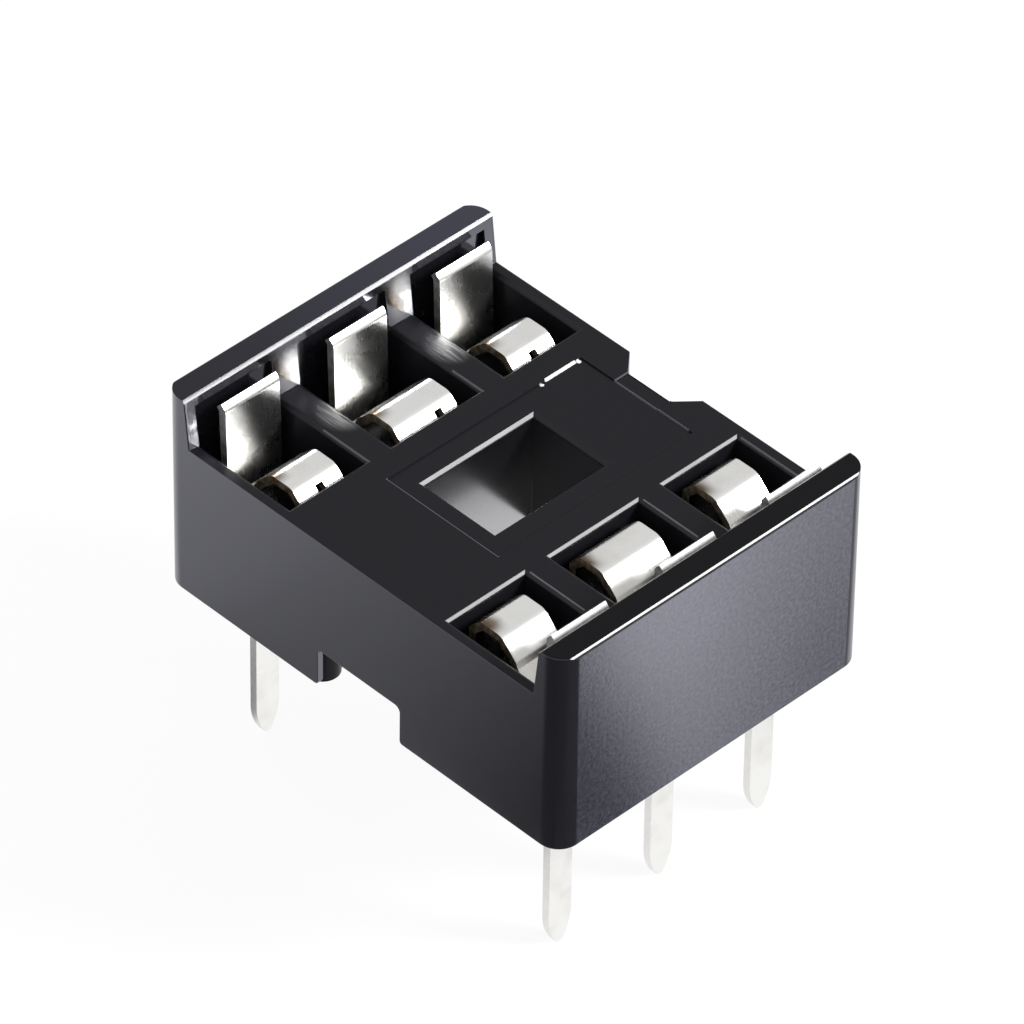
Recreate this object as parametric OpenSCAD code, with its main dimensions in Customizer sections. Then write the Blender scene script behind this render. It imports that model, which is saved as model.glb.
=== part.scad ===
/* [Grid] */
// distance between neighbouring pins of one row
pitch = 2.54; // [2.5:0.01:2.6]
// distance between the two rows of pins
row_gap = 7.62; // [7.5:0.02:15.24]
// how far the body stands out beyond each row of pins
side_out = 1.27; // [1.2:0.01:1.4]
// how far the body stands out beyond the last pins of a row
end_out = 1.27; // [1.2:0.01:1.4]

/* [Housing] */
// height of the deck between the two side walls, above the board
deck_h = 3.43; // [3.2:0.01:3.8]
// height of the side walls above the deck
wall_rise = 1.07; // [0.9:0.01:1.3]
// thickness of a side wall along its top
wall_t = 0.58; // [0.54:0.01:0.7]
// how much thicker a side wall is at deck level than along its top
wall_draft = 0.12; // [0.06:0.01:0.14]
// bevel along the top edges of the side walls
wall_bevel = 0.06; // [0.03:0.01:0.1]
// thickness of the two end walls beside the contact cells
end_t = 0.26; // [0.2:0.01:0.32]
// radius of the four upright outer corners, seen from above
corner_r = 0.45; // [0.3:0.01:0.5]
// width of a contact cell, from the deck to the foot of the side wall
cell_w = 2.34; // [2.24:0.02:2.44]
// thickness of the partitions between the cells of one row
rib_t = 0.64; // [0.56:0.01:0.7]
// how far a partition lies outside the middle between two pins
rib_out = 0.13; // [0.1:0.01:0.16]
// thickness of the floor that the contacts sit on
floor_t = 0.4; // [0.32:0.01:0.5]
// bevel around the mouths of the cells and the window
mouth_bevel = 0.07; // [0.03:0.01:0.1]
// depth of the leaf pockets in the side walls, at the top of a wall
pocket_depth = 0.06; // [0.04:0.01:0.1]
// height of the lip left above each leaf pocket
lip_h = 0.24; // [0.2:0.01:0.3]

/* [Deck] */
// window size across the rows
window_w = 1.8; // [1.5:0.02:2]
// window size along the rows
window_l = 2.7; // [2.3:0.02:2.9]
// size of the sunk panel across the rows
panel_w = 2.84; // [2.5:0.02:3]
// size of the sunk panel along the rows
panel_l = 4.82; // [4.6:0.02:4.9]
// strip of deck left between the sunk panel and the key notch
panel_gap = 0.3; // [0.2:0.01:0.4]
// depth of the sunk panel
panel_depth = 0.03; // [0.02:0.01:0.05]
// depth of the shallow neck between the sunk panel and the key notch
neck_depth = 0.015; // [0.005:0.005:0.015]
// width of the key notch on the end face
key_w = 1.88; // [1.7:0.02:2]
// width of the key notch's flat inner side, up to where its slanted sides would meet it
key_flat = 1.06; // [0.9:0.02:1.2]
// how far the key notch reaches in from the end face
key_in = 0.46; // [0.36:0.01:0.5]
// fillet in the two inner corners of the key notch
key_r = 0.2; // [0.1:0.01:0.25]
// height of the key notch
key_h = 1.2; // [0.8:0.05:1.5]

/* [Underside] */
// width of the channel under the body
channel_w = 2.1; // [1.9:0.02:2.3]
// height of the channel under the body
channel_h = 0.85; // [0.7:0.01:1]
// fillet in the upper corners of the channel
channel_r = 0.12; // [0.06:0.01:0.2]
// rounding of the lower edges of the channel
channel_lip = 0.08; // [0.04:0.01:0.1]
// radius of the round posts beside the mouths of the channel
post_r = 0.34; // [0.28:0.01:0.38]
// how far a post stands out into the channel
post_out = 0.09; // [0.05:0.01:0.15]
// how far a post lies behind the end face
post_back = 0.02; // [0.01:0.01:0.1]

/* [Contacts] */
// thickness of the contact strip
strip_t = 0.17; // [0.14:0.01:0.2]
// radius of the bends from the base of a contact into its leaves, on the strip's middle line
base_r = 0.16; // [0.12:0.01:0.2]
// gap beside the base of a contact in its cell
base_gap = 0.03; // [0.02:0.01:0.06]

/* [Pins] */
// width of a pin
pin_w = 0.56; // [0.46:0.01:0.6]
// length of a pin below the body
pin_l = 3.7; // [3:0.05:4]
// length of the pointed arch at the end of a pin
tip_l = 0.7; // [0.4:0.05:1]
// width of the blunt end of a pin
tip_w = 0.12; // [0.06:0.01:0.2]
// gap around a pin in the floor of the housing
pin_gap = 0.03; // [0.02:0.01:0.06]

/* [Outer leaves] */
// width of the tall outer leaf
leaf_w = 1.32; // [1.1:0.01:1.4]
// how far the outer leaves lie off the middle of their cells
leaf_shift = 0.1; // [0:0.01:0.15]
// gap between the foot of the side wall and the foot of the outer leaf
leaf_gap = 0.13; // [0.12:0.01:0.16]
// top of the outer leaf below the top of the side wall
leaf_drop = 0.29; // [0.28:0.01:0.4]
// inward lean of the outer leaf below its waist, in degrees, and outward lean above it
lean = 2; // [1:0.5:3]
// radius of the outer leaf's waist
waist_r = 6; // [3:0.5:9]
// outward lean of the outer leaf's flared top, in degrees
flare = 45; // [30:1:50]
// radius of the bend below the flared top
flare_r = 0.11; // [0.11:0.01:0.2]
// length of the flared top beyond its bend
flare_l = 0.06; // [0.06:0.01:0.1]

/* [Inner leaves] */
// width of the sprung inner leaf in the four end cells
arch_w = 1.06; // [0.9:0.01:1.2]
// width of the sprung inner leaf in the two middle cells
mid_arch_w = 1.43; // [1.2:0.01:1.6]
// top of the inner leaf below the deck
arch_drop = 0.03; // [0:0.01:0.1]
// gap between the deck side of a cell and the upright of the inner leaf
arch_gap = 0.08; // [0.06:0.01:0.1]
// slant of the inner leaf's front and of its lead-in slope, in degrees from the board
roof = 45; // [42:1:48]
// radius of the two bends of the inner leaf's front, on the strip's middle line
ridge_r = 0.15; // [0.12:0.01:0.18]
// length of the inner leaf's slanted front
front_l = 0.21; // [0.16:0.01:0.26]
// length of the inner leaf's flat top
ridge_l = 0.31; // [0.24:0.01:0.34]
// radius of the bend from the flat top into the lead-in slope
slope_r = 0.2; // [0.15:0.01:0.25]
// length of the lead-in slope
slope_l = 0.36; // [0.3:0.01:0.4]
// slant of the short step below the lead-in slope, in degrees from the board
step = 68; // [60:1:74]
// radius of the two bends beside the step
step_r = 0.15; // [0.12:0.01:0.2]
// length of the step
step_l = 0.08; // [0.05:0.01:0.12]
// length of the lower slope, between the step and the belly
shin_l = 0.45; // [0.4:0.01:0.5]
// radius of the belly that presses on a lead
belly_r = 0.35; // [0.3:0.01:0.4]
// turn of the belly, in degrees
belly = 75; // [65:1:80]
// length of the free tail below the belly
tail_l = 1; // [0.8:0.05:1.1]
// width of the slot in the front of the inner leaf
slot_w = 0.17; // [0.14:0.01:0.2]
// height of the slot, from its upper end in the slanted front down into the upright
slot_h = 0.5; // [0.3:0.05:0.8]
// strip left along the slanted front between the slot and the bend above it
slot_drop = 0.07; // [0.05:0.01:0.1]
// how far the slot's middle lies off the middle of the leaf, towards the key notch
slot_off = 0.02; // [-0.05:0.01:0.05]

/* [Hidden] */
$fn = 64;
wall_h = deck_h + wall_rise;
half_row = row_gap / 2;
half_w = half_row + side_out;
half_l = pitch + end_out;
wall_in = half_w - wall_t;
wall_foot = wall_in - wall_draft;
pocket_back = wall_in + pocket_depth;
cell_in = wall_foot - cell_w;
cell_end = half_l - end_t;
rib_y = pitch / 2 + rib_out;
rib_far = rib_y + rib_t / 2;
rib_near = rib_y - rib_t / 2;
end_cell_y = (rib_far + cell_end) / 2;
end_cell_l = cell_end - rib_far;
mid_cell_l = 2 * rib_near;
half_strip = strip_t / 2;
up_x = cell_in + arch_gap + half_strip;
leaf_x = wall_foot - leaf_gap - half_strip;
base_z = floor_t + half_strip;
top_z = deck_h - arch_drop - half_strip;
leaf_z = wall_h - leaf_drop;
front_x = up_x + ridge_r * (1 - sin(roof));
front_z = top_z - ridge_r * (1 - cos(roof)) - front_l * sin(roof);

/* How far a piece reaches into its neighbour, and how far a cut runs out past the body. */
eps = 0.02;
over = 1;

/* Headings in a side view: away from the deck is 0, straight up and back towards the deck. */
up = 90;
back = 180;

/* Height that a bend of radius r gains while its heading turns from one angle to another. */
function rise(r, from, to) = r * sign(to - from) * (cos(from) - cos(to));

/* Straight runs and bends of the inner leaf, from the base outwards: run, radius, turn. */
upright_l = front_z - base_z - rise(base_r, back, up) - rise(ridge_r, up, roof);
inner_steps = [
    [eps, base_r, up - back],
    [upright_l, ridge_r, roof - up],
    [front_l, ridge_r, -roof],
    [ridge_l, slope_r, -roof],
    [slope_l, step_r, roof - step],
    [step_l, step_r, step - roof],
    [shin_l, belly_r, -belly],
    [tail_l, 0, 0]];

/* The same for the outer leaf, whose two long runs are equal. */
flare_rise = rise(flare_r, up - lean, up - flare) + flare_l * cos(flare);
waist_rise = rise(waist_r, up + lean, up - lean);
foot_rise = rise(base_r, 0, up + lean);
long_l = (leaf_z - base_z - foot_rise - waist_rise - flare_rise) / cos(lean) / 2;
outer_steps = [
    [eps, base_r, up + lean],
    [long_l, waist_r, -2 * lean],
    [long_l, flare_r, lean - flare],
    [flare_l, 0, 0]];

/* Part of a ring, as thick as the strip, that turns by an angle from the heading +X. */
module bend(r, turn) {
    s = sign(turn);
    far = 2 * (r + strip_t);
    translate([0, s * r])
        intersection() {
            difference() {
                circle(r = r + half_strip);
                circle(r = r - half_strip);
            }
            polygon([
                [0, 0],
                [0, -s * far],
                far * [sin(abs(turn) / 2), -s * cos(turn / 2)] / cos(turn / 2),
                far * [sin(abs(turn)), -s * cos(turn)]]);
        }
}

/* Side view of a bent strip: the steps from the i-th on, starting at the origin along +X. A thinner
   core joins each run to the bends beside it, and the first run to the base that it starts in. */
module bent(steps, i = 0) {
    run = steps[i][0];
    r = steps[i][1];
    turn = steps[i][2];
    core_t = strip_t - 2 * eps;
    core_l = i + 1 < len(steps) ? run + 2 * eps : run + eps;
    translate([-eps, -core_t / 2])
        square([core_l, core_t]);
    if (i > 0)
        translate([0, -half_strip])
            square([run, strip_t]);
    if (i + 1 < len(steps))
        translate([run, 0]) {
            bend(r, turn);
            translate([0, sign(turn) * r])
                rotate(turn)
                    translate([0, -sign(turn) * r])
                        bent(steps, i + 1);
        }
}

/* Bent strip w wide that leaves the base at x, outwards or inwards. */
module leaf(steps, x, inwards, w) {
    rotate([90, 0, 0])
        linear_extrude(height = w, center = true)
            translate([x, base_z])
                rotate(inwards ? 180 : 0)
                    bent(steps);
}

/* Side view of the space that the slot takes out of the inner leaf's front and upright. */
module slot_section() {
    top = [front_x, front_z] + (front_l - slot_drop) * [cos(roof), sin(roof)];
    across = strip_t * [-sin(roof), cos(roof)];
    low = top[1] - slot_h;
    polygon([
        [up_x - strip_t, low],
        [up_x + strip_t, low],
        top - across,
        top + across,
        [up_x - strip_t, front_z - rise(ridge_r, up, roof)]]);
}

/* Flat pin with a blunt pointed arch at its end, running down from the base. */
module pin() {
    half = pin_w / 2;
    taper = half - tip_w / 2;
    tip_r = (taper * taper + tip_l * tip_l) / (2 * taper);
    tip_z = tip_l - pin_l;
    rotate([90, 0, 90])
        linear_extrude(height = strip_t, center = true) {
            translate([-half, tip_z])
                square([pin_w, base_z - tip_z]);
            intersection() {
                translate([-half, -pin_l])
                    square([pin_w, tip_l + eps]);
                translate([half - tip_r, tip_z])
                    circle(r = tip_r);
                translate([tip_r - half, tip_z])
                    circle(r = tip_r);
            }
        }
}

/* One contact of the +X row: base, pin, outer leaf and inner leaf. y is its pin, cell_y the
   middle of its cell, cell_l the cell's length and w the width of the inner leaf. */
module contact(y, cell_y, cell_l, w) {
    base_w = cell_l - 2 * base_gap;
    inner_x = up_x + base_r;
    outer_x = leaf_x - base_r * cos(lean);
    translate([inner_x, cell_y - base_w / 2, floor_t])
        cube([outer_x - inner_x, base_w, strip_t]);
    translate([half_row, y, 0])
        pin();
    translate([0, cell_y + leaf_shift, 0])
        leaf(outer_steps, outer_x - eps, false, leaf_w);
    translate([0, cell_y, 0])
        difference() {
            leaf(inner_steps, inner_x + eps, true, w);
            translate([0, slot_off, 0])
                rotate([90, 0, 0])
                    linear_extrude(height = slot_w, center = true)
                        slot_section();
        }
}

/* Contact of the +X row at place k: -1, 0 or 1 along the row. */
module placed_contact(k) {
    y = k * pitch;
    color([0.86, 0.86, 0.84])
        if (k == 0)
            contact(y, 0, mid_cell_l, mid_arch_w);
        else
            contact(y, k * end_cell_y, end_cell_l, arch_w);
}

/* The housing's outline seen from above, with rounded corners. */
module outline() {
    square(2 * [half_w - corner_r, half_l], center = true);
    square(2 * [half_w, half_l - corner_r], center = true);
    for (sx = [-1, 1], sy = [-1, 1])
        translate([sx * (half_w - corner_r), sy * (half_l - corner_r)])
            circle(r = corner_r);
}

/* Right half of the housing's section, from the middle of the deck outwards. */
half_section = [
    [wall_foot, deck_h],
    [wall_in - wall_bevel * wall_draft / wall_rise, wall_h - wall_bevel],
    [wall_in + wall_bevel, wall_h],
    [half_w - wall_bevel, wall_h],
    [half_w, wall_h - wall_bevel],
    [half_w, 0]];

/* Deck with its two drafted side walls, as one length of section. */
module section() {
    other_half = [for (i = [len(half_section) - 1:-1:0]) [-half_section[i][0], half_section[i][1]]];
    rotate([90, 0, 0])
        linear_extrude(height = 2 * half_l, center = true)
            polygon(concat(other_half, half_section));
}

/* Section of a bevelled mouth, half wide at the bottom of the bevel, whose top is at height 0. */
module mouth_section(half) {
    b = mouth_bevel;
    top = half + b;
    polygon([[-half, -b], [-top, 0], [-top, eps], [top, eps], [top, 0], [half, -b]]);
}

/* Bevelled rim for a rectangular mouth, l by w, around the origin. */
module rim(l, w) {
    intersection() {
        rotate([90, 0, 0])
            linear_extrude(height = w + over, center = true)
                mouth_section(l / 2);
        rotate([90, 0, 90])
            linear_extrude(height = l + over, center = true)
                mouth_section(w / 2);
    }
}

/* Space of one contact cell of the +X row: the cell with its leaf pocket, the bevel on its three
   sides away from the wall, and the pin's slot in the floor. */
module cell(y, cell_y, cell_l) {
    mouth_l = wall_foot - cell_in;
    translate([cell_in, cell_y - cell_l / 2, floor_t])
        cube([pocket_back - cell_in, cell_l, wall_h - lip_h - floor_t]);
    intersection() {
        translate([cell_in + mouth_l, cell_y, deck_h])
            rim(2 * mouth_l, cell_l);
        translate([wall_foot - 2 * mouth_l, cell_y - cell_l, 0])
            cube([2 * mouth_l, 2 * cell_l, wall_h]);
    }
    translate([half_row - half_strip - pin_gap, y - pin_w / 2 - pin_gap, -eps])
        cube([strip_t + 2 * pin_gap, pin_w + 2 * pin_gap, floor_t + 2 * eps]);
}

/* Window through the deck, the sunk panel around it and the neck that runs to the key notch. */
module window() {
    panel_far = half_l - key_in - panel_gap;
    translate([-window_w / 2, -window_l / 2, -eps])
        cube([window_w, window_l, deck_h]);
    translate([0, 0, deck_h - panel_depth])
        rim(window_w, window_l);
    translate([-panel_w / 2, panel_far - panel_l, deck_h - panel_depth])
        cube([panel_w, panel_l, 2 * panel_depth]);
    translate([-key_flat / 2, panel_far - eps, deck_h - neck_depth])
        cube([key_flat, panel_gap + 2 * eps, 2 * neck_depth]);
}

/* Key notch at the +Y end of the deck: slanted sides and a flat inner side, with filleted inner
   corners. */
module key_notch() {
    run = (key_w - key_flat) / 2;
    slant = atan2(key_in, run);
    tangent = key_r * tan(slant / 2);
    from_side = [-cos(slant), sin(slant)] * tangent;
    corner = [-key_flat / 2, half_l - key_in];
    side = corner + from_side;
    flat = corner + [tangent, 0];
    translate([0, 0, deck_h - key_h])
        linear_extrude(height = key_h + eps) {
            polygon([
                [-key_w / 2, half_l],
                side,
                flat,
                [-flat[0], flat[1]],
                [-side[0], side[1]],
                [key_w / 2, half_l],
                [key_w / 2, half_l + eps],
                [-key_w / 2, half_l + eps]]);
            for (s = [-1, 1])
                translate([s * flat[0], flat[1] + key_r])
                    circle(r = key_r);
        }
}

/* Channel under the body, from end face to end face, with filleted upper corners and rounded
   lower edges. */
module channel() {
    w = channel_w / 2;
    h = channel_h;
    r = channel_r;
    lip = channel_lip;
    rotate([90, 0, 0])
        linear_extrude(height = 2 * half_l + over, center = true) {
            translate([-w, -eps])
                square([2 * w, h - r + eps]);
            translate([r - w, 0])
                square([2 * (w - r), h]);
            for (s = [-1, 1]) {
                translate([s * (w - r), h - r])
                    circle(r = r);
                difference() {
                    translate([s * (w + lip / 2), (lip - eps) / 2])
                        square([lip, lip + eps], center = true);
                    translate([s * (w + lip), lip])
                        circle(r = lip);
                }
            }
        }
}

/* Round posts that stand a little into the mouths of the channel. */
module posts() {
    x = channel_w / 2 + post_r - post_out;
    y = half_l - post_r - post_back;
    for (sx = [-1, 1], sy = [-1, 1])
        translate([sx * x, sy * y, 0])
            cylinder(r = post_r, h = channel_h + eps);
}

/* Moulded housing, one piece. */
module housing() {
    color([0.13, 0.13, 0.15])
        union() {
            difference() {
                intersection() {
                    linear_extrude(height = wall_h)
                        outline();
                    section();
                }
                for (s = [0, 1])
                    mirror([s, 0, 0]) {
                        cell(0, 0, mid_cell_l);
                        for (k = [-1, 1])
                            cell(k * pitch, k * end_cell_y, end_cell_l);
                    }
                window();
                key_notch();
                channel();
            }
            posts();
        }
}

/* The contacts, counted round the body from the key notch's left. */
module contact_1() {
    mirror([1, 0, 0])
        placed_contact(1);
}

module contact_2() {
    mirror([1, 0, 0])
        placed_contact(0);
}

module contact_3() {
    mirror([1, 0, 0])
        placed_contact(-1);
}

module contact_4() {
    placed_contact(-1);
}

module contact_5() {
    placed_contact(0);
}

module contact_6() {
    placed_contact(1);
}

housing();
contact_1();
contact_2();
contact_3();
contact_4();
contact_5();
contact_6();
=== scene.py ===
import math

import bmesh
import bpy
import numpy as np
from mathutils import Matrix, Vector


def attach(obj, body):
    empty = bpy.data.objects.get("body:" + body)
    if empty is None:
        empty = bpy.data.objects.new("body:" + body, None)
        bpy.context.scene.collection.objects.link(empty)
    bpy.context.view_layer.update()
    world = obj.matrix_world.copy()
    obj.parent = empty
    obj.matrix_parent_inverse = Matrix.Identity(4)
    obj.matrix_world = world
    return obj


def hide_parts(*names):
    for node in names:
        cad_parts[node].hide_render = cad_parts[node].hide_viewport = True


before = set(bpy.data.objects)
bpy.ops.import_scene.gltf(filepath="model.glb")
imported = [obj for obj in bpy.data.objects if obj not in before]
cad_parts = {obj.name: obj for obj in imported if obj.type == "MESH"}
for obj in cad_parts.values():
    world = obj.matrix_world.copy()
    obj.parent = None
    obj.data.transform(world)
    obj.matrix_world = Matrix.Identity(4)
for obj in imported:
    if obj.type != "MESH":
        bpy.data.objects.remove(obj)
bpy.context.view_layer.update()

mm = 0.001


class Wire:
    # one socket of a material; sums on it add the Math nodes
    def __init__(self, finish, socket):
        self.finish = finish
        self.socket = socket

    def __add__(self, other):
        return self.finish.math("ADD", self, other)

    def __radd__(self, other):
        return self.finish.math("ADD", other, self)

    def __sub__(self, other):
        return self.finish.math("SUBTRACT", self, other)

    def __rsub__(self, other):
        return self.finish.math("SUBTRACT", other, self)

    def __mul__(self, other):
        return self.finish.math("MULTIPLY", self, other)

    def __rmul__(self, other):
        return self.finish.math("MULTIPLY", other, self)

    def __truediv__(self, other):
        return self.finish.math("DIVIDE", self, other)

    def __gt__(self, other):
        return self.finish.math("GREATER_THAN", self, other)

    def __lt__(self, other):
        return self.finish.math("LESS_THAN", self, other)

    def __abs__(self):
        return self.finish.math("ABSOLUTE", self)


class Finish:
    # a material or a world while its nodes are put together
    def __init__(self, holder):
        self.holder = holder
        holder.use_nodes = True
        self.tree = holder.node_tree
        self.tree.nodes.clear()

    def node(self, kind, settings=None, sockets=None, out=0):
        made = self.tree.nodes.new(kind)
        for name, value in (settings or {}).items():
            setattr(made, name, value)
        for name, value in (sockets or {}).items():
            if isinstance(value, Wire):
                self.tree.links.new(value.socket, made.inputs[name])
            else:
                made.inputs[name].default_value = value
        return Wire(self, made.outputs[out]) if made.outputs else made

    def math(self, operation, *terms):
        return self.node("ShaderNodeMath", {"operation": operation}, dict(enumerate(terms)))

    def ease(self, value, low, high):
        # 0 below low, 1 above high, smooth between
        return self.node("ShaderNodeMapRange", {"interpolation_type": "SMOOTHSTEP"},
                         {0: value, 1: low, 2: high, 3: 0.0, 4: 1.0})

    def hump(self, value, low, full, still, gone):
        # rises from low to full and falls again from still to gone
        return self.ease(value, low, full) * (1 - self.ease(value, still, gone))

    def mix(self, share, first, second):
        return self.node("ShaderNodeMix", {"data_type": "RGBA"},
                         {0: share, 6: first, 7: second}, out=2)

    def stretched(self, vector, by):
        return self.node("ShaderNodeVectorMath", {"operation": "MULTIPLY"},
                         {0: vector, 1: by})

    def parts(self, vector):
        split = self.node("ShaderNodeSeparateXYZ", {}, {0: vector}).socket.node
        return [Wire(self, split.outputs[i]) for i in range(3)]

    def place(self):
        # where a point lies on its piece, in metres
        return self.node("ShaderNodeTexCoord", {}, {}, out=3)

    def millimetres(self):
        return self.stretched(self.place(), (1000.0, 1000.0, 1000.0))

    def noise(self, vector, scale, detail=2.0, rough=0.5):
        return self.node("ShaderNodeTexNoise", {"noise_dimensions": "3D"},
                         {"Vector": vector, "Scale": scale, "Detail": detail, "Roughness": rough})

    def rays(self, kind):
        # 1 for rays of this kind, such as Is Camera Ray
        path = self.node("ShaderNodeLightPath", {}, {})
        return Wire(self, path.socket.node.outputs[kind])

    def close(self, shader, output="ShaderNodeOutputMaterial"):
        self.node(output, {}, {"Surface": shader})
        return self.holder


def colour(red, green, blue):
    return (red, green, blue, 1.0)


plastic = {
    "body": colour(0.0100, 0.0100, 0.0128),          # charcoal black
    "wallTop": colour(0.0030, 0.0030, 0.0040),       # the +X wall's top, darker than the body: painted shade
    "paintedSheenTopNear": colour(0.0188, 0.0180, 0.0232),   # the -X wall's top, paler towards +Y: painted reflection
    "paintedSheenTopFar": colour(0.0378, 0.0378, 0.0530),
    "topFrom": (4.40, 4.45),       # heights between which the walls take their top's painted tone, mm
    "endsAt": 3.8,                 # how far the side walls reach along y, mm
    "dullBevel": (4.9, 4.4, 4.468, 0.6),   # x from which, heights between which, added roughness
    "eroded": colour(0.034, 0.035, 0.052),           # the long outer faces, which scatter more
    "erodedLow": colour(0.010, 0.010, 0.016),
    "deckGloss": 0.11,
    "bevelGloss": 0.33,
    "deckRough": 0.30,
    "topRough": 0.12,
    "skinRough": 0.20,
    "innerRough": 0.10,            # the inner faces of the walls are smoother
    "innerWall": (4.0, 4.9, 3.75), # those faces' least and greatest distance in x, greatest in y
    "erodedRough": 0.22,
    "grain": 13.0,                 # grain lumps per millimetre on the outer faces
    "grainDepth": 0.22,
    "window": (0.9, 1.35),         # half sizes of the window, whose -X wall is polished
    "sheen": (0.86, 0.87, 1.0, 1.0),                 # the gloss is faintly blue
    "shine": ((-1.27, 3.78), (1.46, 3.9)),           # y, z of smooth places on the -X wall
    "shineSize": (0.18, 0.42),     # fully and just smooth, mm from their middles
    "shineWall": (-4.9, -4.3),     # x between which they lie
    "rubs": ((-3.28, -1.2), (-3.28, 1.5)),           # shiny spots on the ribs, beside the leaves
    "rubSize": (0.12, 0.45),       # fully and just rubbed, mm from their middles
    "rubsFrom": 3.4,               # height from which a rub shows, mm
    # painted highlights on the deck: bars from x, y to x, y, and how far they reach on each side
    "marksFrom": 3.3,              # height from which they show, mm
    # painted glints of the lamp along the sunk panel's -X edge
    "paintedGlints": ((-1.42, 2.17, -1.42, 2.88, 0.03), (-1.38, 2.03, -1.38, 2.03, 0.04),
               (-1.386, 2.96, -1.386, 2.96, 0.045)),
    "paintedGlintTone": colour(0.86, 0.86, 0.84),
    # painted highlights: pale lines along the edges of the sunk panel and the cells
    "paintedEdgeLines": ((-1.42, -1.77, 1.42, -1.77, 0.016), (-0.56, 3.05, 1.31, 3.05, 0.014),
                  (-0.55, 3.05, -0.55, 3.38, 0.016), (-3.16, -1.67, -1.98, -1.67, 0.014),
                  (-2.75, 1.13, -1.96, 1.13, 0.014), (2.1, -1.65, 3.45, -1.65, 0.014),
                  (2.1, 1.15, 3.45, 1.15, 0.014), (2.1, 3.6, 3.5, 3.6, 0.014)),
    "paintedEdgeLine": colour(0.11, 0.11, 0.125),
}


def mouldedPlastic(name, gloss):
    # the deck, the underside, the cells and the wall tops; with more gloss, the bevels
    f = Finish(bpy.data.materials.new(name))
    spot = f.millimetres()
    x, y, z = f.parts(spot)
    onTop = f.ease(z, *plastic["topFrom"])
    cloud = f.noise(spot, 1.1, detail=3.0, rough=0.55)
    speck = f.noise(spot, 42.0, detail=1.0)
    rough = plastic["deckRough"] + onTop * (plastic["topRough"] - plastic["deckRough"])
    rough = rough + (cloud - 0.5) * 0.08 + (speck - 0.5) * 0.04
    bump = f.node("ShaderNodeBump", {}, {"Strength": 0.25, "Distance": 0.001 * mm, "Height": speck})
    along = f.ease(y, -plastic["endsAt"], plastic["endsAt"])
    # the walls' tops are painted: shade on the +X wall's, a reflection paler towards +Y on the -X wall's
    paintedSheenTop = f.mix(along, plastic["paintedSheenTopNear"], plastic["paintedSheenTopFar"])
    tone = f.mix(onTop, plastic["body"], f.mix(x < 0.0, plastic["wallTop"], paintedSheenTop))
    outermost, low, high, dulling = plastic["dullBevel"]
    rough = rough + (x > outermost) * (z > low) * (z < high) * dulling
    # the painted highlights are laid over the tone
    for marks, shown in (("paintedEdgeLines", "paintedEdgeLine"), ("paintedGlints", "paintedGlintTone")):
        for fromX, fromY, toX, toY, half in plastic[marks]:
            offX = f.math("MAXIMUM", f.math("MAXIMUM", fromX - x, x - toX), 0.0)
            offY = f.math("MAXIMUM", f.math("MAXIMUM", fromY - y, y - toY), 0.0)
            off = f.math("SQRT", offX * offX + offY * offY) + (speck - 0.5) * half * 0.8
            tone = f.mix((off < half) * (z > plastic["marksFrom"]), tone, plastic[shown])
    rubbed = 0.0
    for left, middle in plastic["rubs"]:
        off = f.math("SQRT", (x - left) * (x - left) * 0.6 + (y - middle) * (y - middle))
        rubbed = f.math("MAXIMUM", rubbed, 1 - f.ease(off, *plastic["rubSize"]))
    strokes = f.noise(f.stretched(spot, (1.5, 22.0, 1.5)), 1.0, detail=2.0)
    rubbed = rubbed * (z > plastic["rubsFrom"]) * f.ease(strokes, 0.2, 0.65)
    shader = f.node("ShaderNodeBsdfPrincipled", {}, {
        "Base Color": tone, "Roughness": rough, "Normal": bump,
        "IOR": 1.5, "Specular IOR Level": gloss,
        "Coat Weight": rubbed, "Coat Roughness": 0.25, "Coat IOR": 4.0})
    return f.close(shader)


def skinPlastic():
    # upright faces, which shine more
    f = Finish(bpy.data.materials.new("skinPlastic"))
    spot = f.millimetres()
    cloud = f.noise(spot, 1.1, detail=3.0, rough=0.55)
    speck = f.noise(spot, 30.0, detail=2.0)
    x, y, z = f.parts(spot)
    halfX, halfY = plastic["window"]
    inWindow = (abs(x + halfX) < 0.02) * (abs(y) < halfY + 0.02)
    leastX, mostX, mostY = plastic["innerWall"]
    onWall = (abs(x) < mostX) * (abs(x) > leastX) * (abs(y) < mostY)
    rough = plastic["skinRough"] + (cloud - 0.5) * 0.08 + (speck - 0.5) * 0.03
    rough = rough + onWall * (plastic["innerRough"] - plastic["skinRough"])
    shine = 0.0
    for middleY, middleZ in plastic["shine"]:
        off = f.math("SQRT", (y - middleY) * (y - middleY) + (z - middleZ) * (z - middleZ) * 0.5)
        shine = f.math("MAXIMUM", shine, 1 - f.ease(off, *plastic["shineSize"]))
    outer, inner = plastic["shineWall"]
    shine = shine * (x < inner) * (x > outer)
    bump = f.node("ShaderNodeBump", {}, {"Strength": 0.1, "Distance": 0.0005 * mm, "Height": speck})
    shader = f.node("ShaderNodeBsdfPrincipled", {}, {
        "Base Color": plastic["body"], "Roughness": rough, "Normal": bump,
        "IOR": 1.8, "Specular IOR Level": 1.0, "Specular Tint": plastic["sheen"],
        "Coat Weight": inWindow * (0.75 + 0.5 * speck) + shine * 0.9,
        "Coat Roughness": 0.2, "Coat IOR": 4.0})
    return f.close(shader)


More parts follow.
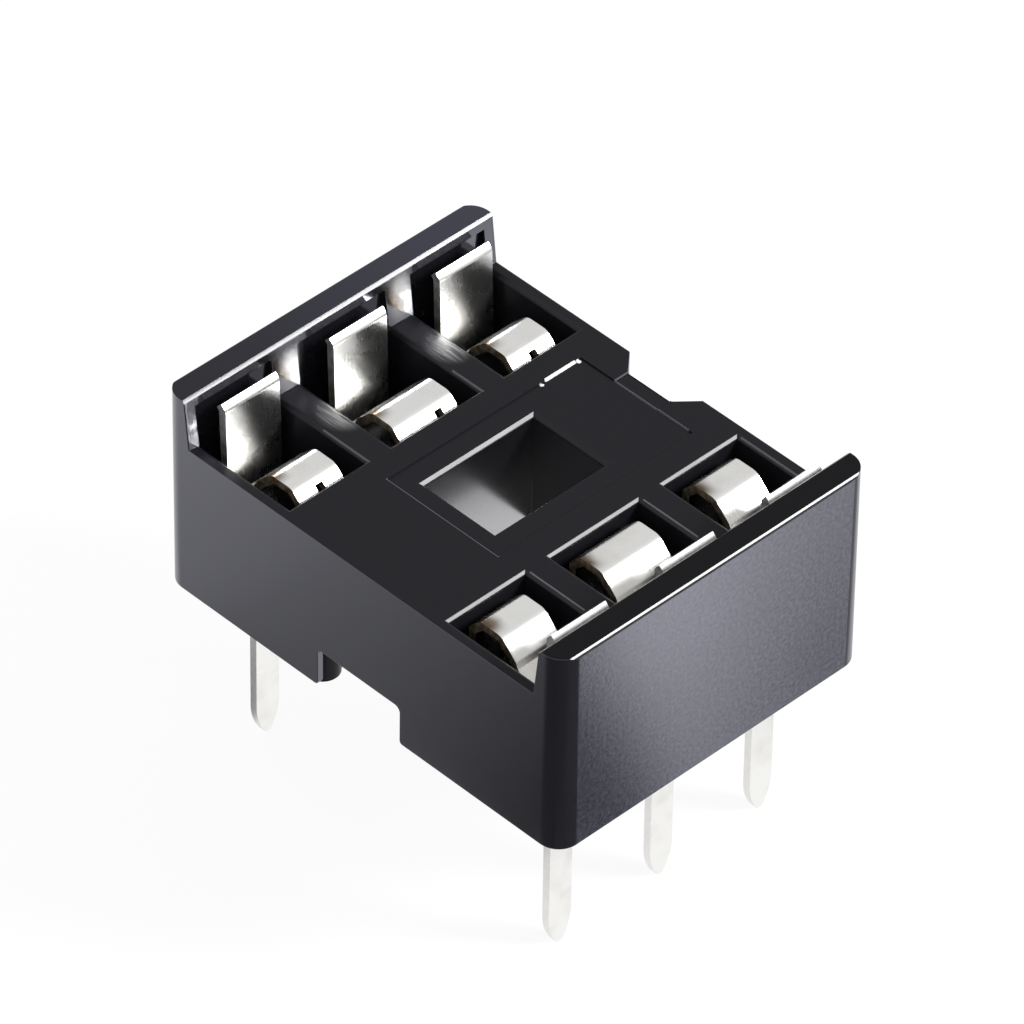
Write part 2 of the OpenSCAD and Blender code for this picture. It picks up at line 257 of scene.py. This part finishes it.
def erodedPlastic():
    # the two long outer faces, which are finely grained
    f = Finish(bpy.data.materials.new("erodedPlastic"))
    spot = f.millimetres()
    fine = f.noise(spot, plastic["grain"], detail=3.0, rough=0.7)
    cloud = f.noise(spot, 0.55, detail=2.0, rough=0.5)
    tone = f.mix(f.ease(fine + (cloud - 0.5) * 0.3, 0.3, 0.72), plastic["erodedLow"], plastic["eroded"])
    rough = plastic["erodedRough"] + (fine - 0.5) * 0.2
    bump = f.node("ShaderNodeBump", {}, {"Strength": plastic["grainDepth"], "Distance": 0.012 * mm,
                                         "Height": fine})
    shader = f.node("ShaderNodeBsdfPrincipled", {}, {
        "Base Color": tone, "Roughness": rough, "Normal": bump,
        "IOR": 2.3, "Specular IOR Level": 1.0, "Specular Tint": plastic["sheen"],
        "Coat Weight": f.ease(fine, 0.25, 0.75), "Coat Roughness": 0.22})
    return f.close(shader)


tin = {
    "plate": colour(0.90, 0.895, 0.875),
    "dull": colour(0.66, 0.635, 0.595),
    "sheared": colour(0.26, 0.18, 0.11),     # copper alloy seen along the inner leaves' edges
    "cut": colour(0.48, 0.40, 0.31),
    "plated": colour(0.86, 0.85, 0.83),      # the pins' edges, nearly as pale as their faces
    "leafTop": colour(0.40, 0.39, 0.38),     # the outer leaves' edges, which are greyer
    "leafTopBright": colour(0.58, 0.57, 0.56),
    "outerFrom": 3.5,            # distance in x from which an edge is an outer leaf's or a pin's, mm
    "paintedShade": colour(0.13, 0.09, 0.055),
    "paintedShadeWide": 0.36,         # darkening of the inner leaves' -Y ends: painted shade
    "paintedShadeUpTo": (2.7, -2.8),  # x where it begins to fade, on the +X row and on the -X row
    "paintedShadeFade": (-0.1, 0.25),
    "innerLeaves": (3.4, 1.5),   # they lie within this distance in x and above this height, mm
    "rough": 0.27,
}

# by place along the row: the cell's middle, the base's width, the inner leaf's width, the pin's y
cells = {
    -1: (-2.635, 1.77, 1.06, -2.54),
    0: (0.0, 2.10, 1.43, 0.0),
    1: (2.635, 1.77, 1.06, 2.54),
}


def tinPlate():
    f = Finish(bpy.data.materials.new("tinPlate"))
    spot = f.millimetres()
    grainWay = f.stretched(spot, (2.0, 26.0, 2.0))           # rolling lines run along the strip
    lines = f.noise(grainWay, 1.0, detail=3.0, rough=0.6)
    cloud = f.noise(spot, 1.7, detail=2.0)
    tone = f.mix(f.ease(cloud, 0.45, 0.8) * 0.4, tin["plate"], tin["dull"])
    x, y, z = f.parts(spot)
    reach, lowest = tin["innerLeaves"]
    onLeaf = (abs(x) < reach) * (z > lowest)
    # painted shade: darker towards each inner leaf's -Y edge
    nearEndShade = 0.0
    for cellY, baseWidth, leafWidth, pinY in cells.values():
        fromEdge = y - (cellY - leafWidth / 2) + (cloud - 0.5) * 0.3
        fading = 1 - f.ease(fromEdge, 0.02, tin["paintedShadeWide"])
        nearEndShade = f.math("MAXIMUM", nearEndShade, (fromEdge > -0.2) * fading)
    right, left = tin["paintedShadeUpTo"]
    side = x - right + (right - left) * (x < 0.0)
    tone = f.mix(nearEndShade * onLeaf * (1 - f.ease(side, *tin["paintedShadeFade"])), tone, tin["paintedShade"])
    rough = tin["rough"] + (lines - 0.5) * 0.03 + (cloud - 0.5) * 0.12
    bump = f.node("ShaderNodeBump", {}, {"Strength": 0.02, "Distance": 0.001 * mm, "Height": lines})
    shader = f.node("ShaderNodeBsdfPrincipled", {}, {
        "Base Color": tone, "Roughness": rough, "Metallic": 1.0, "Normal": bump})
    return f.close(shader)


def shearedEdge():
    f = Finish(bpy.data.materials.new("shearedEdge"))
    spot = f.millimetres()
    tear = f.noise(spot, 7.0, detail=3.0, rough=0.6)
    torn = f.ease(tear, 0.38, 0.62)
    x, y, z = f.parts(spot)
    tone = f.mix(torn, tin["sheared"], tin["cut"])
    leafTone = f.mix(torn, tin["leafTop"], tin["leafTopBright"])
    tone = f.mix(abs(x) > tin["outerFrom"], tone, leafTone)
    tone = f.mix(z < 0.0, tone, tin["plated"])       # below the board, the pins
    rough = 0.5 + (tear - 0.5) * 0.3
    bump = f.node("ShaderNodeBump", {}, {"Strength": 0.3, "Distance": 0.01 * mm, "Height": tear})
    shader = f.node("ShaderNodeBsdfPrincipled", {}, {
        "Base Color": tone, "Roughness": rough, "Metallic": 0.8, "Normal": bump})
    return f.close(shader)


plasticFinish = mouldedPlastic("mouldedPlastic", plastic["deckGloss"])
bevelFinish = mouldedPlastic("bevelPlastic", plastic["bevelGloss"])
skinFinish = skinPlastic()
erodedFinish = erodedPlastic()
plateFinish = tinPlate()
edgeFinish = shearedEdge()
print("finishes made")


moulding = {
    "edge": 0.022,           # rounding of the moulding's sharp edges, mm
    "shallow": 0.006,        # the same at the sunk panel, which is only 0.03 deep
    "wallEdge": 0.008,       # the same along the bevelled tops of the side walls
    "hollow": 0.1,           # share of the rounding that a hollow edge gets
    "panelSide": (-1.3, 0.02),   # the panel's edges beyond this x get this share
    "sharp": 25.0,           # degrees between faces from which an edge is rounded
    "deck": 3.43,
    "halfWidth": 5.08,
    "wallTop": 4.5,
    "panelReach": (1.5, 0.035),  # the panel's edges: distance in x, depth below the deck
    "bevelReach": 0.09,      # how far below the walls' tops their bevels' edges lie
    "posts": (0.9, 1.75, 3.1, 3.8, 1.0),   # distance in x, distance in y, height of the four posts
    "endFrom": 3.7,          # distance in y from which an upright face is polished
    "wallFrom": 4.3,         # the same in x
    "slanted": (0.5, 0.95),  # how much a bevel's face looks up
}


def settled(piece):
    # the piece is worked in millimetres, where the bevels are sound, then brought to metres
    bpy.context.view_layer.update()
    seen = piece.evaluated_get(bpy.context.evaluated_depsgraph_get())
    mesh = bpy.data.meshes.new_from_object(seen, preserve_all_data_layers=True,
                                           depsgraph=bpy.context.evaluated_depsgraph_get())
    piece.modifiers.clear()
    piece.data = mesh
    mesh.transform(Matrix.Scale(mm, 4))


def softened(name, finishes):
    # a merged copy of a CAD node with its sharp edges rounded
    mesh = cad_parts[name].data.copy()
    mesh.materials.clear()
    for finish in finishes:
        mesh.materials.append(finish)
    mesh.transform(Matrix.Scale(1 / mm, 4))
    net = bmesh.new()
    net.from_mesh(mesh)
    bmesh.ops.remove_doubles(net, verts=net.verts, dist=2e-4)
    bmesh.ops.dissolve_limit(net, angle_limit=math.radians(0.2), verts=net.verts, edges=net.edges)
    net.normal_update()
    weight = net.edges.layers.float.new("bevel_weight_edge")
    panelX, panelZ = moulding["panelReach"]
    sideX, sideShare = moulding["panelSide"]
    postX, postXEnd, postY, postYEnd, postTop = moulding["posts"]
    for edge in net.edges:
        if len(edge.link_faces) == 2 and math.degrees(edge.calc_face_angle(0)) >= moulding["sharp"]:
            middle = (edge.verts[0].co + edge.verts[1].co) / 2
            inPanel = abs(middle.x) < panelX and middle.z > moulding["deck"] - panelZ
            atPosts = (postX < abs(middle.x) < postXEnd and postY < abs(middle.y) < postYEnd
                       and middle.z < postTop)
            onWall = middle.z > moulding["wallTop"] - moulding["bevelReach"]
            width = moulding["shallow"] if inPanel else moulding["wallEdge"] if onWall else moulding["edge"]
            edge[weight] = width / moulding["edge"]
            if not edge.is_convex:
                edge[weight] = moulding["hollow"]
            if inPanel and middle.x < sideX:
                edge[weight] = sideShare
            if atPosts:          # left sharp
                edge[weight] = 0.0
                edge.smooth = False
    halfX, halfY = plastic["window"]
    leastUp, mostUp = moulding["slanted"]
    for face in net.faces:
        middle = face.calc_center_median()
        outermost = abs(middle.x) > moulding["halfWidth"] - 0.001
        onEnd = abs(middle.y) > moulding["endFrom"] or abs(middle.x) > moulding["wallFrom"]
        inWindow = abs(middle.x + halfX) < 0.01 and abs(middle.y) < halfY + 0.05
        polished = abs(face.normal.z) < leastUp and (onEnd or inWindow)
        slanted = leastUp <= face.normal.z < mostUp
        face.material_index = 2 if outermost else 3 if slanted else int(polished)
    net.to_mesh(mesh)
    net.free()
    if "custom_normal" in mesh.attributes:
        mesh.attributes.remove(mesh.attributes["custom_normal"])
    mesh.polygons.foreach_set("use_smooth", np.ones(len(mesh.polygons), bool))
    piece = bpy.data.objects.new(name + "_rounded", mesh)
    bpy.context.scene.collection.objects.link(piece)
    bevel = piece.modifiers.new("edges", "BEVEL")
    bevel.width = moulding["edge"]
    bevel.segments = 3
    bevel.limit_method = "WEIGHT"
    bevel.use_clamp_overlap = False
    even = piece.modifiers.new("flat faces", "WEIGHTED_NORMAL")
    even.keep_sharp = True
    settled(piece)
    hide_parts(name)
    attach(piece, "root")


softened("housing", (plasticFinish, skinFinish, erodedFinish, bevelFinish))
print("housing made")


strip = {
    "thick": 0.17,
    "edge": 0.022,         # rolled-over sheared edges
    "baseRadius": 0.16,
    "baseHeight": 0.485,   # middle of the base above the board
}
innerLeaf = {
    "upright": 2.205,      # x of the upright's middle
    "top": 3.315,
    "front": 0.21,         # slanted run of the front, mm
    "roof": 45.0,          # its slant and the lead-in slope's, degrees
    "ridgeRadius": 0.15,
    "flat": 0.31,
    "slope": (0.36, 0.2),  # length, radius before it
    "step": (0.08, 0.15), "stepSlant": 68.0,
    "shin": (0.45, 0.15),
    "tail": (1.0, 0.35), "belly": 75.0,
    "slot": (0.02, 0.17, 0.07, 0.5),  # middle off the leaf's middle, width, drop, height
    "middleSlot": 0.3,     # the same offset in the two middle contacts
    "slotReach": 0.35,     # how far beyond the upright the slot can lie, along x
}
outerLeaf = {
    "x": 4.165, "top": 4.21, "width": 1.32, "shift": 0.1,
    "lean": 2.0, "waist": 6.0, "flare": 45.0, "flareRadius": 0.09, "flareLength": 0.08,
}
pinShape = {"width": 0.56, "length": 3.7, "tip": 0.7, "blunt": 0.12, "row": 3.81}


def rise(radius, start, end):
    # height gained along a bend while its heading turns from start to end, degrees
    way = 1 if end > start else -1
    return radius * way * (math.cos(math.radians(start)) - math.cos(math.radians(end)))


def bentPath(start, heading, steps, gap=0.06, turnStep=6.0):
    # points (x, z) of straight runs and bends: each step is (run, radius, turn)
    points = [np.array([start])]
    here = np.array(start, float)
    for run, radius, turn in steps:
        way = np.array([math.cos(math.radians(heading)), math.sin(math.radians(heading))])
        if run > 0:
            count = max(2, int(run / gap))
            points.append(here + np.outer(np.linspace(0, run, count + 1)[1:], way))
            here = here + run * way
        if turn:
            side = math.copysign(1, turn)
            centre = here + side * radius * np.array([-way[1], way[0]])
            count = max(4, int(abs(turn) / turnStep))
            angles = np.radians(heading + np.linspace(0, turn, count + 1)[1:])
            points.append(centre + side * radius * np.stack([np.sin(angles), -np.cos(angles)], 1))
            here = points[-1][-1]
            heading += turn
    return np.concatenate(points)


def innerPath():
    # along the middle line, from the base up the front, over the flat top and down to the tail
    r, ridge, roof = strip["baseRadius"], innerLeaf["ridgeRadius"], innerLeaf["roof"]
    slopeRun, slopeRadius = innerLeaf["slope"]
    stepRun, kneeRadius = innerLeaf["step"]
    shinRun, footRadius = innerLeaf["shin"]
    tailRun, bellyRadius = innerLeaf["tail"]
    dip = roof - innerLeaf["stepSlant"]
    frontRise = innerLeaf["front"] * math.sin(math.radians(roof)) + rise(ridge, 90, 0)
    upright = innerLeaf["top"] - strip["baseHeight"] - rise(r, 180, 90) - frontRise
    steps = [(0, r, -90), (upright, ridge, roof - 90), (innerLeaf["front"], ridge, -roof),
             (innerLeaf["flat"], slopeRadius, -roof), (slopeRun, kneeRadius, dip),
             (stepRun, footRadius, -dip), (shinRun, bellyRadius, -innerLeaf["belly"]), (tailRun, 0, 0)]
    return bentPath((innerLeaf["upright"] + r, strip["baseHeight"]), 180, steps)


def outerPath():
    # the same for the outer leaf: up to its waist, up again, and out over the flare
    r = strip["baseRadius"]
    lean, flare = outerLeaf["lean"], outerLeaf["flare"]
    flareRise = (rise(outerLeaf["flareRadius"], 90 - lean, 90 - flare)
                 + outerLeaf["flareLength"] * math.cos(math.radians(flare)))
    waistRise = rise(outerLeaf["waist"], 90 + lean, 90 - lean)
    footRise = rise(r, 0, 90 + lean)
    run = (outerLeaf["top"] - strip["baseHeight"] - footRise - waistRise - flareRise)
    run = run / math.cos(math.radians(lean)) / 2
    steps = [(0, r, 90 + lean), (run, outerLeaf["waist"], -2 * lean),
             (run, outerLeaf["flareRadius"], lean - flare), (outerLeaf["flareLength"], 0, 0)]
    start = outerLeaf["x"] - r * math.cos(math.radians(lean))
    return bentPath((start, strip["baseHeight"]), 0, steps)


def widthLines(*marks):
    # places across a strip, as shares of its half width, closer near its edges and at the marks
    even = np.sin(np.linspace(-1, 1, 13) * math.pi / 2)
    lines = np.concatenate([even[[0, -1]], even[1:-1], marks])
    lines = np.unique(np.round(lines, 4))
    return lines[np.concatenate([[True], np.diff(lines) > 0.02])]


def sheet(path, middle, half, across):
    # grid of points: along the path in (x, z), across it in y
    x = np.repeat(path[:, :1], len(across), 1)
    z = np.repeat(path[:, 1:], len(across), 1)
    y = middle[:, None] + half[:, None] * across[None, :]
    return np.stack([x, y, z], -1)


def gridFaces(rows, columns, first=0):
    # each cell of a grid of points as one quad of four point numbers
    number = np.arange(rows * columns).reshape(rows, columns) + first
    return np.stack([number[:-1, :-1], number[:-1, 1:], number[1:, 1:], number[1:, :-1]], -1)


def contact(name, side, k):
    # one sheet along both leaves and the base, its quads in the slot left out, and a second for the pin
    cellY, baseWidth, leafWidth, pinY = cells[k]
    inner = innerPath()[::-1]
    outer = outerPath()
    baseRun = np.linspace(inner[-1], outer[0], 14)[1:-1]
    path = np.concatenate([inner, baseRun, outer])
    place = np.arange(len(path))
    nearBase = (place >= len(inner)) & (place < len(inner) + len(baseRun))
    onOuter = place >= len(inner) + len(baseRun)
    half = np.where(nearBase, baseWidth, np.where(onOuter, outerLeaf["width"], leafWidth)) / 2
    middle = cellY + np.where(onOuter, outerLeaf["shift"], 0.0)
    slotOff, slotWide, slotDrop, slotHigh = innerLeaf["slot"]
    slotOff = slotOff if k else innerLeaf["middleSlot"]
    slotEdges = [(slotOff + way * slotWide / 2) / (leafWidth / 2) for way in (-1, 1)]
    across = widthLines(*slotEdges)
    grid = sheet(path, middle, half, across)
    quads = gridFaces(*grid.shape[:2])
    centre = (grid[:-1, :-1] + grid[1:, 1:]) / 2
    roof = math.radians(innerLeaf["roof"])
    slotTop = innerLeaf["top"] - innerLeaf["ridgeRadius"] * (1 - math.cos(roof)) - slotDrop * math.sin(roof)
    inSlot = ((centre[..., 0] < innerLeaf["upright"] + innerLeaf["slotReach"])
              & (centre[..., 2] < slotTop) & (centre[..., 2] > slotTop - slotHigh)
              & (abs(centre[..., 1] - cellY - slotOff) < slotWide / 2))
    quads = quads[~inSlot]
    points = grid.reshape(-1, 3)

    # pin: width follows two arcs towards its blunt end
    halfPin = pinShape["width"] / 2
    taper = halfPin - pinShape["blunt"] / 2
    tipRadius = (taper ** 2 + pinShape["tip"] ** 2) / (2 * taper)
    tipTop = pinShape["tip"] - pinShape["length"]
    heights = np.concatenate([np.linspace(strip["baseHeight"], tipTop, 16)[:-1],
                              tipTop - pinShape["tip"] * np.linspace(0, 1, 12)])
    below = np.clip(tipTop - heights, 0, None)
    pinHalf = np.where(below > 0, halfPin - tipRadius + np.sqrt(tipRadius ** 2 - below ** 2), halfPin)
    pinPath = np.stack([np.full_like(heights, pinShape["row"]), heights], 1)
    pinGrid = sheet(pinPath, np.full_like(heights, pinY), pinHalf, np.linspace(-1, 1, 7))
    pinQuads = gridFaces(*pinGrid.shape[:2], first=len(points)).reshape(-1, 4)

    points = np.concatenate([points, pinGrid.reshape(-1, 3)])
    points[:, 0] *= side
    quads = np.concatenate([quads.reshape(-1, 4), pinQuads])
    if side < 0:
        quads = quads[:, ::-1]
    mesh = bpy.data.meshes.new(name)
    mesh.from_pydata(points.tolist(), [], quads.tolist())
    mesh.polygons.foreach_set("use_smooth", np.ones(len(mesh.polygons), bool))
    mesh.materials.append(plateFinish)
    mesh.materials.append(edgeFinish)
    piece = bpy.data.objects.new(name + "_strip", mesh)
    bpy.context.scene.collection.objects.link(piece)
    wall = piece.modifiers.new("thickness", "SOLIDIFY")
    wall.thickness = strip["thick"]
    wall.offset = 0.0
    wall.use_even_offset = True
    wall.use_quality_normals = True
    wall.material_offset_rim = 1
    rollover = piece.modifiers.new("edges", "BEVEL")
    rollover.width = strip["edge"]
    rollover.segments = 3
    rollover.limit_method = "ANGLE"
    rollover.angle_limit = math.radians(50)
    rollover.use_clamp_overlap = True
    even = piece.modifiers.new("flat faces", "WEIGHTED_NORMAL")
    even.keep_sharp = True
    settled(piece)
    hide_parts(name)
    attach(piece, "root")


rows = {"contact_1": (-1, 1), "contact_2": (-1, 0), "contact_3": (-1, -1),
        "contact_4": (1, -1), "contact_5": (1, 0), "contact_6": (1, 1)}
for name, (side, k) in rows.items():
    contact(name, side, k)
print("contacts made")


studio = {
    "floorSize": 600.0,
    "softboxWay": (0.663, 0.527, 0.532),
    "softboxFar": 350.0,
    "softboxSize": 100.0,
    "softboxPower": 1.3,
    "sky": 0.72,
}
# painted shade on the floor as the part's gloss sees it: each pair is a ramp between two places, in mm
floorGlossShade = {
    "endY": (-6.5, -5.0),                  # the zone in front of the near end
    "endTone": (0.66, -9.4, 0.052, 0.04),  # tone at an x, that x, loss per mm towards +X, least tone
    "endStep": (-7.0, -6.4, 0.05),         # a small step in it, and its depth
    "underX": (-8.0, -7.0, -4.2, -3.9),    # dark, by the near -X corner
    "underY": (-3.0, -2.5),
    "besideX": (4.05, 4.35, 5.0, 5.6),     # dark, a strip past the +X wall's far end
    "besideSlant": (-0.7, -0.4),           # in y less x
    "besideY": (5.5, 6.5),
    "cornerX": (6.2, 7.6),                 # dark, outside the +X wall towards its near end
    "cornerSlant": (-3.6, -1.2),           # in y less half of x
    "sideX": (6.5, 7.5),                   # the zone beside the +X wall
    "sideSlant": (-7.1, -1.5),             # in y less x, darker towards +Y
    "sideNear": (11.2, 3.1),               # darker nearer than this x, and over how many mm
    "darkness": 0.94,
    "sideFade": 0.5,
    "sideNearFade": 0.42,
}
shot = {
    "azimuth": 45.26, "elevation": 41.49, "roll": 0.91,
    "target": (-0.81, 0.76, 1.5), "far": 173.0, "lens": 338.7,     # all in mm
}


def floorFinish():
    # matte and lit by the lamp; seen straight on it is nearly white paper, and in the gloss of the part it
    # is paper too, with painted shade in the zones of floorGlossShade
    f = Finish(bpy.data.materials.new("paleFloor"))
    x, y, z = f.parts(f.millimetres())
    mottle = f.noise(f.place(), 60.0, detail=2.0)
    tone = f.mix(mottle, colour(0.80, 0.80, 0.80), colour(0.82, 0.82, 0.82))
    zone = floorGlossShade

    startTone, startX, loss, leastTone = zone["endTone"]
    stepFrom, stepTo, stepDepth = zone["endStep"]
    endTone = startTone - (x - startX) * loss - stepDepth * f.ease(x, stepFrom, stepTo)
    endTone = f.math("MAXIMUM", endTone, leastTone)
    atEnd = 1 - f.ease(y, *zone["endY"])

    under = f.hump(x, *zone["underX"]) * (1 - f.ease(y, *zone["underY"]))
    beside = (f.hump(x, *zone["besideX"]) * f.ease(y - x, *zone["besideSlant"])
              * (1 - f.ease(y, *zone["besideY"])))
    atCorner = f.ease(x, *zone["cornerX"]) * (1 - f.ease(y - 0.5 * x, *zone["cornerSlant"]))
    dark = f.math("MAXIMUM", f.math("MAXIMUM", under, beside), atCorner)

    atSide = f.ease(x, *zone["sideX"])
    nearX, nearWide = zone["sideNear"]
    nearer = atSide * f.math("MAXIMUM", nearX - x, 0.0) / nearWide
    fading = atSide * f.ease(y - x, *zone["sideSlant"])
    # the painted shade that the part's gloss sees on the floor
    shade = (1 - zone["darkness"] * dark) * (1 - zone["sideFade"] * fading)
    shade = shade * (1 - zone["sideNearFade"] * nearer)
    shade = shade + atEnd * (endTone - shade)

    seen, glossy = f.rays("Is Camera Ray"), f.rays("Is Glossy Ray")
    matte = f.node("ShaderNodeBsdfDiffuse", {}, {"Color": tone})
    inGloss = f.mix(shade, colour(0, 0, 0), colour(1, 1, 1))
    paper = f.mix(glossy, colour(1.04, 1.04, 1.04), inGloss)
    glow = f.node("ShaderNodeEmission", {}, {"Color": paper, "Strength": 1.0})
    share = f.math("MAXIMUM", seen * 0.88, glossy)      # the rest is matte, and keeps the shadow
    return f.close(f.node("ShaderNodeMixShader", {}, {0: share, 1: matte, 2: glow}))


def makeFloor():
    half = studio["floorSize"] / 2
    line = np.linspace(-half, half, 9)
    x, y = np.meshgrid(line, line, indexing="ij")
    points = np.stack([x, y, np.full_like(x, -pinShape["length"])], -1).reshape(-1, 3) * mm
    mesh = bpy.data.meshes.new("floor")
    mesh.from_pydata(points.tolist(), [], gridFaces(9, 9).reshape(-1, 4)[:, ::-1].tolist())
    mesh.materials.append(floorFinish())
    floor = bpy.data.objects.new("floor", mesh)
    bpy.context.scene.collection.objects.link(floor)


def makeLight():
    way = Vector(studio["softboxWay"]).normalized()
    lamp = bpy.data.lights.new("softbox", "AREA")
    lamp.shape = "SQUARE"
    lamp.size = studio["softboxSize"] * mm
    lamp.energy = studio["softboxPower"]
    holder = bpy.data.objects.new("softbox", lamp)
    holder.location = way * studio["softboxFar"] * mm
    holder.rotation_euler = way.to_track_quat("Z", "Y").to_euler()
    bpy.context.scene.collection.objects.link(holder)
    # the room lights the part; straight on, it is white
    f = Finish(bpy.data.worlds.new("studio"))
    room = f.node("ShaderNodeBackground", {}, {"Color": colour(1, 1, 1), "Strength": studio["sky"]})
    white = f.node("ShaderNodeBackground", {}, {"Color": colour(1, 1, 1), "Strength": 1.0})
    seen = f.node("ShaderNodeMixShader", {}, {0: f.rays("Is Camera Ray"), 1: room, 2: white})
    bpy.context.scene.world = f.close(seen, "ShaderNodeOutputWorld")


def makeCamera():
    az, el, roll = (math.radians(shot[k]) for k in ("azimuth", "elevation", "roll"))
    back = Vector((math.sin(az) * math.cos(el), -math.cos(az) * math.cos(el), math.sin(el)))
    right = Vector((math.cos(az), math.sin(az), 0))
    up = back.cross(right)
    rolledRight = right * math.cos(roll) + up * math.sin(roll)
    rolledUp = up * math.cos(roll) - right * math.sin(roll)
    lens = bpy.data.cameras.new("camera")
    lens.lens = shot["lens"]
    lens.sensor_width = 36.0
    lens.clip_start = 0.001
    lens.clip_end = 10.0
    camera = bpy.data.objects.new("camera", lens)
    turn = Matrix((rolledRight, rolledUp, back)).transposed().to_4x4()
    place = (Vector(shot["target"]) + back * shot["far"]) * mm
    camera.matrix_world = Matrix.Translation(place) @ turn
    bpy.context.scene.collection.objects.link(camera)
    bpy.context.scene.camera = camera


makeFloor()
makeLight()
makeCamera()
bpy.context.scene.view_settings.view_transform = "Standard"
print("studio made")

bpy.context.view_layer.update()
